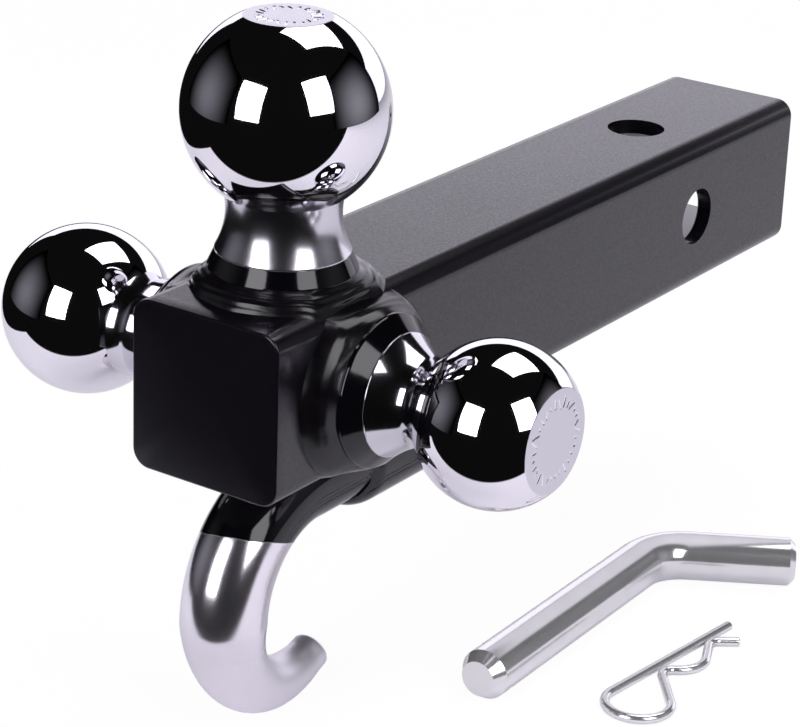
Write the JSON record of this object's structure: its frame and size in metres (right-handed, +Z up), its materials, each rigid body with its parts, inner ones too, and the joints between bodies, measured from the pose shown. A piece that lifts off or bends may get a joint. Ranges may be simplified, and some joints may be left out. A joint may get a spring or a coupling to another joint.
{
  "type": "receiver hitch ball mount",
  "caption": "Square tube receiver mount with welded chrome towing balls of different sizes and a tow hook, and its bent hitch pin and spring clip lying loose beside it.",
  "frame": {"origin": "the point on the centre line of the shank where the side pin hole and the top pin hole cross", "axes": "+X along the shank to the towing vehicle, +Y to the left of the vehicle along the side pin hole, +Z up through the large ball"},
  "size_m": [0.2959, 0.1916, 0.2111],
  "materials": {
    "powder_coat": "satin black powder coat with a fine grain",
    "chrome_plate": "polished chrome plate, painted black round the foot",
    "hook_chrome": "satin bright plate on the curl, gloss black paint on the root",
    "weld_paint": "gloss black paint over weld bead",
    "pin_zinc": "bright zinc plate with faint drawing lines",
    "spring_wire": "bright zinc plated spring wire"
  },
  "bodies": {
    "hitch": {"shank_tube": "powder_coat", "end_plate": "powder_coat", "large_ball": "chrome_plate", "medium_ball": "chrome_plate", "small_ball": "chrome_plate", "large_ball_weld": "weld_paint", "medium_ball_weld": "weld_paint", "small_ball_weld": "weld_paint", "tow_hook": "hook_chrome", "hook_weld_left": "weld_paint", "hook_weld_right": "weld_paint"},
    "pin": {"hitch_pin": "pin_zinc"},
    "clip": {"spring_clip": "spring_wire"}
  },
  "joints": [
    {"name": "hitch_pin_lift", "type": "slide", "parent": "hitch", "child": "pin", "axis": [0, 0, 1], "range_m": [0, 0.1]},
    {"name": "spring_clip_lift", "type": "slide", "parent": "hitch", "child": "clip", "axis": [0, 0, 1], "range_m": [0, 0.1]}
  ]
}
